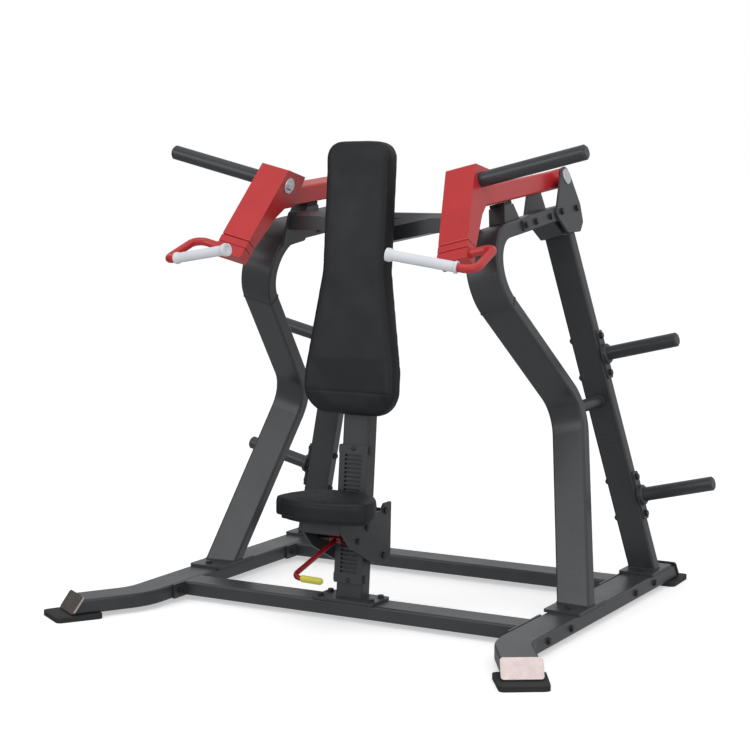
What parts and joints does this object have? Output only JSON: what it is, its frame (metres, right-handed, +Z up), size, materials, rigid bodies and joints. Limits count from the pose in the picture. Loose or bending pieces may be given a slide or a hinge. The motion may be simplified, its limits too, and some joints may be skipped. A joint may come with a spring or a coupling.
{
  "type": "plate-loaded seated shoulder press machine",
  "caption": "Plate-loaded seated press machine with independent pivoting arms, a reclined back pad, a height-adjustable seat on a slotted post and storage horns.",
  "frame": {"origin": "on the floor, on the plane of symmetry, under the middle of the bounding box from front to back", "axes": "+X to the right seen from the front, -Y the way the user faces, +Z up"},
  "size_m": [1.9392, 1.6697, 1.6037],
  "materials": {
    "frame_paint": "satin",
    "arm_paint": "satin",
    "lever_paint": "satin",
    "sleeve": "satin",
    "grip": "satin",
    "pad_cover": "satin",
    "board": "matte",
    "end_plate": "brushed",
    "foot_rubber": "matte",
    "bright_metal": "polished",
    "dark_bolt": "black oxide",
    "roller": "satin"
  },
  "bodies": {
    "frame": {"back_board": "board", "back_pad": "pad_cover", "base_bolts": "dark_bolt", "floor_rail_left": "frame_paint", "floor_rail_right": "frame_paint", "front_cross_beam": "frame_paint", "front_end_plate_left": "end_plate", "front_end_plate_right": "end_plate", "front_floor_pad_left": "foot_rubber", "front_floor_pad_right": "foot_rubber", "front_leg_left": "frame_paint", "front_leg_right": "frame_paint", "head_bolts": "dark_bolt", "height_rack": "frame_paint", "horn_bolts": "dark_bolt", "lower_storage_horn_left": "frame_paint", "lower_storage_horn_right": "frame_paint", "pivot_pin_left": "bright_metal", "pivot_pin_right": "bright_metal", "pivot_plate_left": "frame_paint", "pivot_plate_right": "frame_paint", "rack_screws": "dark_bolt", "rail_bolts": "dark_bolt", "rear_cross_beam": "frame_paint", "rear_floor_pad_left": "foot_rubber", "rear_floor_pad_right": "foot_rubber", "rear_leg_left": "frame_paint", "rear_leg_right": "frame_paint", "seat_post": "frame_paint", "stop_bracket_left": "frame_paint", "stop_bracket_right": "frame_paint", "stop_rubber_left": "foot_rubber", "stop_rubber_right": "foot_rubber", "top_cross_beam": "frame_paint", "upper_storage_horn_left": "frame_paint", "upper_storage_horn_right": "frame_paint"},
    "arm_right": {"arm_box_right": "arm_paint", "arm_beam_right": "arm_paint", "arm_end_block_right": "arm_paint", "weight_horn_right": "frame_paint", "horn_fixing_right": "bright_metal", "handle_right": "arm_paint", "grip_right": "grip"},
    "arm_left": {"arm_box_left": "arm_paint", "arm_beam_left": "arm_paint", "arm_end_block_left": "arm_paint", "weight_horn_left": "frame_paint", "horn_fixing_left": "bright_metal", "handle_left": "arm_paint", "grip_left": "grip"},
    "carriage": {"seat_carriage": "frame_paint", "carriage_axles": "dark_bolt", "seat_board": "board", "seat_pad": "pad_cover"},
    "lever": {"seat_lever": "lever_paint", "lever_sleeve": "sleeve"},
    "roller_rear_upper": {"roller_rear_upper": "roller"},
    "roller_rear_lower": {"roller_rear_lower": "roller"},
    "roller_front": {"roller_front": "roller"}
  },
  "joints": [
    {"name": "right_arm_press", "type": "hinge", "parent": "frame", "child": "arm_right", "pos_m": [0.36367, 0.48785, 1.46378], "axis": [-0.9715, 0, -0.2368], "range_deg": [0, 45]},
    {"name": "left_arm_press", "type": "hinge", "parent": "frame", "child": "arm_left", "pos_m": [-0.36367, 0.48785, 1.46378], "axis": [-0.9715, 0, 0.2368], "range_deg": [0, 45]},
    {"name": "seat_height", "type": "slide", "parent": "frame", "child": "carriage", "axis": [0, 0.0924, 0.9957], "range_m": [-0.03, 0.16]},
    {"name": "seat_release", "type": "hinge", "parent": "carriage", "child": "lever", "pos_m": [0, -0.38715, 0.29], "axis": [-1, 0, 0], "range_deg": [0, 12], "stiffness_Nm_per_rad": 4, "springref_deg": -8.59},
    {"name": "roller_rear_upper_turn", "type": "hinge", "parent": "carriage", "child": "roller_rear_upper", "pos_m": [0, -0.19986, 0.36242], "axis": [1, 0, 0], "range_deg": [-400, 400]},
    {"name": "roller_rear_lower_turn", "type": "hinge", "parent": "carriage", "child": "roller_rear_lower", "pos_m": [0, -0.2139, 0.21107], "axis": [1, 0, 0], "range_deg": [-400, 400]},
    {"name": "roller_front_turn", "type": "hinge", "parent": "carriage", "child": "roller_front", "pos_m": [0, -0.32468, 0.3268], "axis": [1, 0, 0], "range_deg": [-400, 400]}
  ],
  "couplings": [
    {"joint": "roller_rear_upper_turn", "follows": "seat_height", "rad_per_m": 38.462},
    {"joint": "roller_rear_lower_turn", "follows": "seat_height", "rad_per_m": 38.462},
    {"joint": "roller_front_turn", "follows": "seat_height", "rad_per_m": -38.462}
  ]
}
